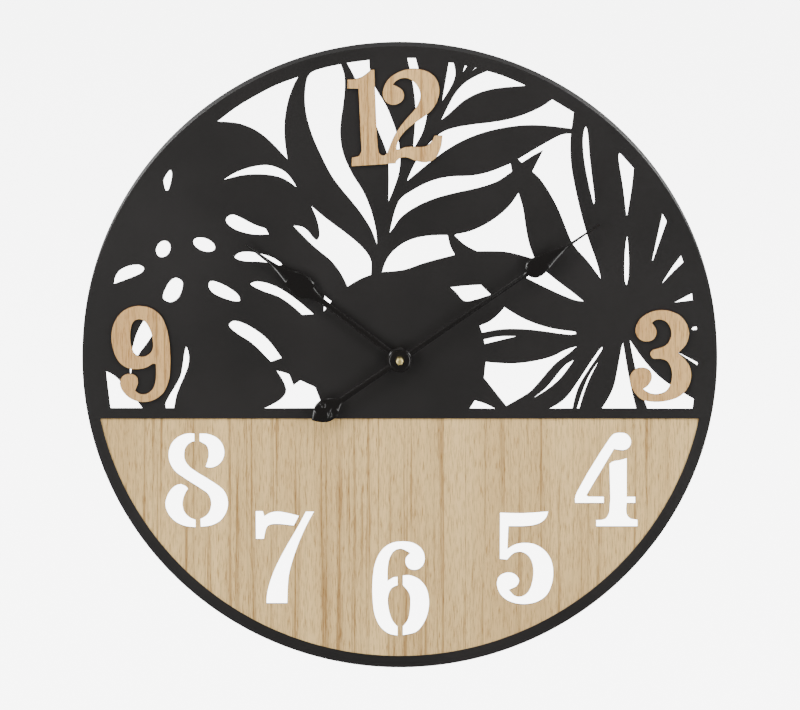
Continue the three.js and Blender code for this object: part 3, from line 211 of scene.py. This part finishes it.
def winding():
    """Copper metal with the ridges of wound wire."""
    material = metal("copper_wire", (0.62, 0.26, 0.11), 0.3)
    tree = material.node_tree
    wave = tree.nodes.new("ShaderNodeTexWave")
    wave.bands_direction = "Z"
    wave.inputs["Scale"].default_value = 1400
    spot = tree.nodes.new("ShaderNodeTexCoord")
    tree.links.new(spot.outputs["Object"], wave.inputs["Vector"])
    bump = next(node for node in tree.nodes if node.type == "BUMP")
    bump.inputs["Strength"].default_value = 0.5
    tree.links.new(wave.outputs["Fac"], bump.inputs["Height"])
    return material


MATERIALS = {
    "black_paint": powder_coat(),
    "wood": wood(
        "wood_face",
        light=(0.80, 0.555, 0.238),
        dark=(0.64, 0.425, 0.172),
        pore=(0.5, 0.4, 0.29),
        scorched=(0.05, 0.022, 0.01),
    ),
    "pale_wood": wood(
        "numeral_wood",
        light=(0.74, 0.465, 0.185),
        dark=(0.60, 0.355, 0.135),
        pore=(0.55, 0.44, 0.33),
        scorched=(0.06, 0.025, 0.01),
    ),
    "gloss_black": moulded(
        "gloss_black", (0.005, 0.004, 0.0035), 0.2, coat=0.45, grain_scale=700, relief=0.03
    ),
    "brass": metal("polished_brass", (0.96, 0.80, 0.34), 0.34),
    "white_plastic": moulded("white_acetal", (0.72, 0.70, 0.65), 0.42),
    "black_plastic": moulded(
        "black_moulding", (0.018, 0.018, 0.019), 0.5, grain_scale=1800, relief=0.4
    ),
    "rubber": moulded("black_rubber", (0.02, 0.02, 0.02), 0.82),
    "steel": metal("plated_steel", (0.56, 0.57, 0.58), 0.28, stretch=(1, 1, 0.1)),
    "copper": winding(),
    "board": moulded("board_laminate", (0.03, 0.13, 0.055), 0.4, coat=0.3),
    "battery_sleeve": moulded("battery_sleeve", (0.035, 0.06, 0.12), 0.3, coat=0.4),
}
for row in frame["record"]["subparts"]:
    node = frame["nodes"][row["node"]]
    node.data.materials.clear()
    node.data.materials.append(MATERIALS[row["material_slot"]])


# ---- mesh helpers ----
def new_object(name, mesh, slot_name, body, *nodes):
    """Puts a finished mesh in the scene with its slot's material, riding on its body."""
    made = bpy.data.objects.new(name, mesh)
    bpy.context.scene.collection.objects.link(made)
    mesh.materials.clear()
    mesh.materials.append(MATERIALS[slot_name])
    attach(made, body)
    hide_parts(*nodes)
    return made


def shade(mesh, angle=35):
    """Smooth shading, sharp at steep edges and all round the faces that lie flat on the dial."""
    for polygon in mesh.polygons:
        polygon.use_smooth = True
    mesh.set_sharp_from_angle(angle=radians(angle))
    work = bmesh.new()
    work.from_mesh(mesh)
    for edge in work.edges:
        flat_sides = [abs(face.normal.y) > 0.999 for face in edge.link_faces]
        if any(flat_sides) and not all(flat_sides):
            edge.smooth = False
    work.to_mesh(mesh)
    work.free()


def front_loops(node):
    """The closed outlines of a flat node's front face, as lists of (x, z)."""
    work = bmesh.new()
    work.from_mesh(frame["nodes"][node].data)
    bmesh.ops.remove_doubles(work, verts=work.verts, dist=1e-6)
    facing = [face for face in work.faces if face.normal.y < -0.9]
    front = set(facing)
    following = {}
    for face in facing:
        for loop in face.loops:
            others = [other for other in loop.edge.link_faces if other is not face]
            if others and others[0] not in front:
                following[loop.vert] = loop.link_loop_next.vert
    loops = []
    while following:
        start, at = following.popitem()
        loop = [start]
        while at is not start:
            loop.append(at)
            at = following.pop(at)
        loops.append([(vert.co.x, vert.co.z) for vert in loop])
    work.free()
    return loops


def turn_at(before, at, after):
    """How far an outline turns at a point, in radians."""
    a = atan2(at[1] - before[1], at[0] - before[0])
    b = atan2(after[1] - at[1], after[0] - at[0])
    return abs((b - a + pi) % (2 * pi) - pi)


def signed_area(loop):
    """Area of an outline, negative where it runs clockwise."""
    return sum(a[0] * b[1] - b[0] * a[1] for a, b in zip(loop, loop[1:] + loop[:1])) / 2


def drawn_in(loop, distance):
    """A closed outline with every edge moved towards its inside, and its corners kept."""
    side = 1 if signed_area(loop) > 0 else -1
    moved = []
    for index, at in enumerate(loop):
        ahead = loop[(index + 1) % len(loop)]
        behind = loop[index - 1]
        a = Vector((at[0] - behind[0], at[1] - behind[1])).normalized()
        b = Vector((ahead[0] - at[0], ahead[1] - at[1])).normalized()
        both = Vector((-a.y - b.y, a.x + b.x)) * side
        shift = both * distance / max(1 + a.dot(b), 0.25)  # the limit blunts very sharp corners
        moved.append((at[0] + shift.x, at[1] + shift.y))
    return moved


OPENING_TRIM = 0.5 * MM  # openings are drawn tighter, as the bright floor bleeds over their edges
CORNER_TURN = 24  # degrees. An outline that turns by more than this keeps a sharp corner


def smooth_sheet(name, node, slot_name, bevel):
    """A flat node rebuilt with smooth outlines between its corners and eased edges."""
    low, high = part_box(node)
    curve = bpy.data.curves.new(name, "CURVE")
    curve.dimensions = "2D"
    curve.fill_mode = "BOTH"
    curve.resolution_u = 3
    curve.extrude = (high.y - low.y) / 2 - bevel
    curve.bevel_depth = bevel
    curve.bevel_resolution = 1
    curve.offset = -bevel
    loops = sorted(front_loops(node), key=lambda loop: -abs(signed_area(loop)))
    for loop in loops[:1] + [drawn_in(hole, OPENING_TRIM) for hole in loops[1:]]:
        spline = curve.splines.new("BEZIER")
        spline.bezier_points.add(len(loop) - 1)
        spline.use_cyclic_u = True
        for index, (x, z) in enumerate(loop):
            point = spline.bezier_points[index]
            point.co = (x, z, 0)
            turn = turn_at(loop[index - 1], (x, z), loop[(index + 1) % len(loop)])
            kind = "VECTOR" if turn > radians(CORNER_TURN) else "AUTO"
            point.handle_left_type = kind
            point.handle_right_type = kind
    shape = bpy.data.objects.new(name, curve)
    bpy.context.scene.collection.objects.link(shape)
    bpy.context.view_layer.update()
    evaluated = shape.evaluated_get(bpy.context.evaluated_depsgraph_get())
    mesh = bpy.data.meshes.new_from_object(evaluated)
    bpy.data.objects.remove(shape)
    middle = Matrix.Translation((0, (low.y + high.y) / 2, 0))
    mesh.transform(middle @ Matrix.Rotation(pi / 2, 4, "X"))
    work = bmesh.new()
    work.from_mesh(mesh)
    bmesh.ops.remove_doubles(work, verts=work.verts, dist=1e-6)
    bmesh.ops.recalc_face_normals(work, faces=work.faces)
    work.to_mesh(mesh)
    work.free()
    shade(mesh)
    new_object(name, mesh, slot_name, "root", node)


def add_lathe(work, profile, sides=96):
    """Adds a turned ring round the dial's axis. The profile is a closed (radius, y) outline."""
    rings = []
    for radius, y in profile:
        ring = []
        for step in range(sides):
            angle = 2 * pi * step / sides
            spot = (DIAL.x + radius * cos(angle), y, DIAL.z + radius * sin(angle))
            ring.append(work.verts.new(spot))
        rings.append(ring)
    for a, b in zip(rings, rings[1:] + rings[:1]):
        for step in range(sides):
            after = (step + 1) % sides
            work.faces.new((a[step], b[step], b[after], a[after]))


def add_skin(work, rows):
    """Joins equal closed rows of vertices into a tube with flat ends."""
    for a, b in zip(rows, rows[1:]):
        for i in range(len(a)):
            j = (i + 1) % len(a)
            work.faces.new((a[i], a[j], b[j], b[i]))
    work.faces.new(rows[0])
    work.faces.new(list(reversed(rows[-1])))


def finish_mesh(name, work, angle=35):
    """Turns a bmesh into a shaded mesh."""
    bmesh.ops.recalc_face_normals(work, faces=work.faces)
    mesh = bpy.data.meshes.new(name)
    work.to_mesh(mesh)
    work.free()
    shade(mesh, angle)
    return mesh


# ---- hoop, panel, wood and numerals ----
HOOP_THICK = 1.5 * MM
HOOP_EASE = 0.4 * MM  # chamfer on its back edges


def hoop():
    """Steel band round the dial."""
    low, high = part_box("rim_hoop")
    outer = DIAL_R
    inner = outer - HOOP_THICK
    work = bmesh.new()
    profile = [
        (inner, low.y),
        (outer, low.y),
        (outer, high.y - HOOP_EASE),
        (outer - HOOP_EASE, high.y),
        (inner + HOOP_EASE, high.y),
        (inner, high.y - HOOP_EASE),
    ]
    add_lathe(work, profile, 256)
    new_object("hoop", finish_mesh("hoop", work), "black_paint", "root", "rim_hoop")


hoop()
smooth_sheet("panel_sheet", "leaf_panel", "black_paint", 0.22 * MM)
smooth_sheet("wood_half", "wood_panel", "wood", 0.25 * MM)
for number in ("12", "9", "3"):
    smooth_sheet(f"wooden_{number}", f"numeral_{number}", "pale_wood", 0.3 * MM)


# ---- parts seen from behind and from the side ----
STEEP_TURN = 30  # degrees between faces, above which an edge is rounded off


def eased(name, node, body, width):
    """A CAD node with its steep edges rounded off."""
    rows = frame["record"]["subparts"]
    slot_name = next(row["material_slot"] for row in rows if row["node"] == node)
    work = bmesh.new()
    work.from_mesh(frame["nodes"][node].data)
    bmesh.ops.remove_doubles(work, verts=work.verts, dist=1e-6)
    bmesh.ops.dissolve_limit(work, angle_limit=radians(1), verts=work.verts, edges=work.edges)
    limit = radians(STEEP_TURN)
    steep = [edge for edge in work.edges if edge.is_manifold and edge.calc_face_angle() > limit]
    bmesh.ops.bevel(
        work, geom=steep, offset=width, segments=2, profile=0.5, affect="EDGES", clamp_overlap=True
    )
    new_object(name, finish_mesh(name, work, STEEP_TURN), slot_name, body, node)


eased("movement_shell", "movement_case", "root", 0.3 * MM)
eased("movement_cover", "back_cover", "root", 0.3 * MM)
eased("battery", "aa_battery", "root", 0.35 * MM)
eased("hanger_plate", "hanger_tab", "root", 0.2 * MM)
eased("adjusting_knob", "setting_knob", "knob", 0.15 * MM)
for number in (1, 2, 3, 4):
    eased(f"bumper_{number}", f"wall_bumper_{number}", "root", 0.8 * MM)
    eased(f"bracket_{number}", f"wood_tab_{number}", "root", 0.2 * MM)
    eased(f"screw_{number}", f"wood_screw_{number}", "root", 0.1 * MM)


# ---- hands ----
THINNEST = 0.05  # least half-width of a blade, in millimetres


def smooth_width(edge, at):
    """Half-width of a hand at a distance from its axis, eased between the given stations."""
    for index, ((s0, w0), (s1, w1)) in enumerate(zip(edge, edge[1:])):
        if at <= s1:
            before = edge[max(0, index - 1)]
            after = edge[min(len(edge) - 1, index + 2)]
            t = (at - s0) / (s1 - s0)
            m0 = (w1 - before[1]) / (s1 - before[0]) * (s1 - s0)
            m1 = (after[1] - w0) / (after[0] - s0) * (s1 - s0)
            if w0 == w1:
                m0 = m1 = 0
            h = (2 * t**3 - 3 * t**2 + 1) * w0 + (t**3 - 2 * t**2 + t) * m0
            return max(THINNEST, h + (3 * t**2 - 2 * t**3) * w1 + (t**3 - t**2) * m1)
    return edge[-1][1]


def add_blade(work, edge, back, front, turn):
    """Adds a blade along +Z from its axis, with a bevelled rim that rises to a middle ridge."""
    first, last = edge[0][0], edge[-1][0]
    steps = int(last - first)
    rows = []
    for step in range(steps + 1):
        s = first + (last - first) * step / steps
        w = smooth_width(edge, s)
        rim = min(1.1, 0.45 * w)
        half = [(w, 0.0), (w, 0.4), (w - rim, 0.78), (0.0, 1.0)]  # (across, share of thickness)
        section = half + [(-t, h) for t, h in reversed(half[:-1])]
        row = []
        for t, h in section:
            spot = Vector((t * MM, back + (front - back) * h, s * MM))
            row.append(work.verts.new(DIAL_AXIS + turn @ spot))
        rows.append(row)
    add_skin(work, rows)


def add_bead(work, path, radius, depth, turn):
    """Adds a raised bead along a path of (t, s) points, with tapered ends."""
    rows = []
    sides = 8
    for i, (t, s) in enumerate(path):
        ahead = path[min(i + 1, len(path) - 1)]
        behind = path[max(i - 1, 0)]
        way = Vector((ahead[0] - behind[0], 0, ahead[1] - behind[1])).normalized()
        across = Vector((way.z, 0, -way.x))
        taper = min(1.0, 0.35 + 0.65 * min(i, len(path) - 1 - i) / 4)
        row = []
        for step in range(sides):
            angle = 2 * pi * step / sides
            offset = (across * cos(angle) + Vector((0, 1, 0)) * sin(angle)) * radius * taper * MM
            spot = Vector((t * MM, depth, s * MM)) + offset
            row.append(work.verts.new(DIAL_AXIS + turn @ spot))
        rows.append(row)
    add_skin(work, rows)


HOUR_ANGLE = -52.7  # degrees from 12, clockwise
MINUTE_ANGLE = 55.2
# outlines of the blades: (distance from the axis, half-width), in millimetres
HOUR_EDGE = [
    (3, 2.75), (60, 2.75), (88, 2.75), (92, 3.2), (96, 4), (100, 5.5), (103, 8.5), (107, 9.8),
    (112, 10.2), (117, 9.8), (122, 8), (126, 6), (130, 4.8), (135, 3.5), (140, 2.45), (150, 1.55),
    (174, 0.75),
]
MINUTE_EDGE = [
    (-96, 0.3), (-94, 2.8), (-91, 5.8), (-88, 8), (-85, 9.7), (-80, 10.5), (-76, 9.9), (-73, 8.5),
    (-70, 6), (-66, 3.3), (-60, 2.7), (0, 2.5), (60, 2.1), (130, 1.7), (138.5, 1.8), (140, 4.5),
    (143, 7.5), (146, 8.6), (150, 9), (155, 8.2), (160, 6.9), (165, 5.3), (170, 3.9), (175, 2.8),
    (180, 1.9), (188, 1.25), (218, 0.75),
]
HUB_R = 11 * MM
HUB_LIFT = 0.4 * MM  # the hub stands this far in front of the blade
BLADE_THICK = 1.2 * MM
BEAD_R = 0.6  # millimetres
BEAD_SINK = 0.3 * MM  # how far the beads' middles lie behind the blade's ridge


def hub_profile(bore, back, front, collar_r, collar_back):
    """Boss of a hand, with a collar behind and a dished disc in front, as (radius, y) points."""
    disc_back = back + 0.2 * MM
    return [
        (bore, collar_back),
        (collar_r, collar_back),
        (collar_r, disc_back),
        (HUB_R - 0.4 * MM, disc_back),
        (HUB_R, disc_back - 0.4 * MM),
        (HUB_R, front + 0.7 * MM),
        (HUB_R - 0.25 * MM, front + 0.25 * MM),
        (HUB_R - 0.8 * MM, front),
        (HUB_R - 1.5 * MM, front + 0.05 * MM),
        (HUB_R - 2.1 * MM, front + 0.25 * MM),
        (bore, front + 0.25 * MM),
    ]


def curl(side):
    """Spiral of the embossed curls on the counterweight, as (t, s) points in millimetres."""
    steps = 28
    points = []
    for step in range(steps + 1):
        share = step / steps
        angle = radians(-60 + 400 * share)
        radius = 3.1 * (1 - 0.72 * share)
        points.append((side * (4.7 + radius * cos(angle)), -80.5 + radius * sin(angle)))
    return [(side * 0.9, -72), (side * 1.6, -76)] + points


def hand(name, node, edge, angle, bore, collar_r, body, beads=()):
    """A hand with its blade, hub and raised beads, in one mesh."""
    low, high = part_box(node)
    front = low.y
    blade_front = front + HUB_LIFT
    blade_back = blade_front + BLADE_THICK
    turn = Matrix.Rotation(radians(angle), 3, "Y")
    work = bmesh.new()
    add_blade(work, edge, blade_back, blade_front, turn)
    add_lathe(work, hub_profile(bore, blade_back, front, collar_r, high.y))
    for path in beads:
        add_bead(work, path, BEAD_R, blade_front + BEAD_SINK, turn)
    new_object(name, finish_mesh(name, work, 28), "gloss_black", body, node)


hand("hour_blade", "hour_hand", HOUR_EDGE, HOUR_ANGLE, 2.7 * MM, 4.6 * MM, "hour_train")
hand(
    "minute_blade", "minute_hand", MINUTE_EDGE, MINUTE_ANGLE, 1.7 * MM, 3.4 * MM, "minute_train",
    [curl(1), curl(-1)],
)


NUT_CORNER_R = 3.65 * MM
NUT_ROUNDING = 0.965  # share of the corner radius at which the corners are turned off
SLOT_WIDE = 0.9 * MM
SLOT_DEEP = 0.8 * MM


def centre_nut():
    """Small brass nut with rounded corners and an upright driver slot."""
    low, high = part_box("hand_nut")
    work = bmesh.new()
    sides = 48
    stations = [  # (share of the radius, y)
        (0.9, high.y),
        (1.0, high.y - 0.5 * MM),
        (1.0, low.y + 1.2 * MM),
        (0.93, low.y + 0.45 * MM),
        (0.8, low.y + 0.1 * MM),
        (0.62, low.y),
    ]
    rows = []
    for share, y in stations:
        row = []
        for step in range(sides):
            angle = 2 * pi * step / sides
            hexagon = cos(pi / 6) / cos(angle % (pi / 3) - pi / 6)
            radius = NUT_CORNER_R * share * min(hexagon, NUT_ROUNDING)
            row.append(work.verts.new((radius * cos(angle), y, DIAL.z + radius * sin(angle))))
        rows.append(row)
    add_skin(work, rows)
    mesh = finish_mesh("centre_nut", work, 40)
    made = new_object("centre_nut", mesh, "brass", "minute_train", "hand_nut")
    slot_tool = bpy.data.meshes.new("slot_tool")
    tool = bmesh.new()
    bmesh.ops.create_cube(tool, size=1)
    size = Matrix.Diagonal((SLOT_WIDE, 2 * SLOT_DEEP, 9 * MM, 1))
    tool.transform(Matrix.Translation((0, low.y, DIAL.z)) @ size)
    tool.to_mesh(slot_tool)
    tool.free()
    cutter = bpy.data.objects.new("slot_tool", slot_tool)
    bpy.context.scene.collection.objects.link(cutter)
    cutting = made.modifiers.new("slot", "BOOLEAN")
    cutting.operation = "DIFFERENCE"
    cutting.object = cutter
    bpy.context.view_layer.update()
    evaluated = made.evaluated_get(bpy.context.evaluated_depsgraph_get())
    done = bpy.data.meshes.new_from_object(evaluated)
    made.modifiers.clear()
    made.data = done
    bpy.data.objects.remove(cutter)


centre_nut()


# ---- studio ----
FLOOR_DROP = 0.25  # metres from the panel's lowest point down to the floor
FLOOR_HALF = 40  # metres, wide enough that the camera sees only floor behind the clock
FLOOR_GLOW = 6.5  # bright enough to read as white paper
PAPER = (0.95, 0.95, 0.95)


def paper():
    """Pale studio paper that glows by itself."""
    n = Nodes("studio_paper")
    cloud = n.noise(n.place(), scale=2, detail=2.0)
    n.set(
        Base_Color=n.ramp(cloud, [(0.3, tuple(0.99 * c for c in PAPER)), (0.7, PAPER)]),
        Roughness=0.9,
        Emission_Color=(*PAPER, 1),
        Emission_Strength=FLOOR_GLOW,
    )
    return n.material


def studio_floor():
    """The floor, hidden from diffuse and glossy rays so that its glow doesn't light the clock."""
    floor_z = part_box("leaf_panel")[0].z - FLOOR_DROP
    corners = [
        (x * FLOOR_HALF, y * FLOOR_HALF, floor_z) for x, y in ((-1, -1), (1, -1), (1, 1), (-1, 1))
    ]
    mesh = bpy.data.meshes.new("studio_floor")
    mesh.from_pydata(corners, [], [(0, 1, 2, 3)])
    floor = bpy.data.objects.new("studio_floor", mesh)
    bpy.context.scene.collection.objects.link(floor)
    mesh.materials.append(paper())
    floor.visible_diffuse = False
    floor.visible_glossy = False


def area_light(name, place, target, size, power):
    """A rectangular lamp that the camera doesn't see."""
    data = bpy.data.lights.new(name, "AREA")
    data.shape = "RECTANGLE"
    data.size = size[0]
    data.size_y = size[1]
    data.energy = power
    lamp = bpy.data.objects.new(name, data)
    bpy.context.scene.collection.objects.link(lamp)
    lamp.location = place
    lamp.visible_camera = False
    lamp.rotation_euler = (Vector(target) - Vector(place)).to_track_quat("-Z", "Y").to_euler()


# (name, place and target from the dial's centre, size in metres, watts)
LAMPS = [
    ("left_strip", (-0.78, -1.1, -0.2), (-0.15, 0, 0), (0.3, 1.4), 9.6),
    ("right_strip", (0.78, -1.1, -0.2), (0.15, 0, 0), (0.3, 1.4), 7.4),
    ("left_softbox", (-2.4, -1.9, 1.3), (0, 0, 0), (1.3, 1.6), 62),
    ("right_softbox", (2.4, -1.9, 1.3), (0, 0, 0), (1.3, 1.6), 55),
    ("top_softbox", (0, -1.8, 2.6), (0, 0, 0), (2.0, 1.2), 70),
    ("back_left_softbox", (-2.2, 2.4, 1.2), (0, 0, 0), (1.3, 1.6), 70),
    ("back_right_softbox", (2.2, 2.4, 1.2), (0, 0, 0), (1.3, 1.6), 70),
]
WORLD_STRENGTH = 0.2

studio_floor()
for lamp_name, place, target, size, power in LAMPS:
    area_light(lamp_name, DIAL + Vector(place), DIAL + Vector(target), size, power)

world = bpy.data.worlds.new("studio_world")
world.use_nodes = True
background = world.node_tree.nodes["Background"]
background.inputs["Color"].default_value = (1, 1, 1, 1)
background.inputs["Strength"].default_value = WORLD_STRENGTH
bpy.context.scene.world = world

# ---- camera: from the front, a little above and far away ----
CAMERA_DISTANCE = 24.0  # metres
CAMERA_ELEVATION = 11.9  # degrees
SENSOR_WIDTH = 36  # millimetres, as the lens is
LENS = 1203.6
SHIFT_X = 0.00033
SHIFT_Y = 0.0031
CLIP_END = 100

camera_data = bpy.data.cameras.new("camera")
camera_data.sensor_width = SENSOR_WIDTH
camera_data.lens = LENS
camera_data.shift_x = SHIFT_X
camera_data.shift_y = SHIFT_Y
camera_data.clip_end = CLIP_END
camera = bpy.data.objects.new("camera", camera_data)
bpy.context.scene.collection.objects.link(camera)
lift = radians(CAMERA_ELEVATION)
camera.location = DIAL + CAMERA_DISTANCE * Vector((0, -cos(lift), sin(lift)))
camera.rotation_euler = (DIAL - camera.location).to_track_quat("-Z", "Y").to_euler()
bpy.context.scene.camera = camera
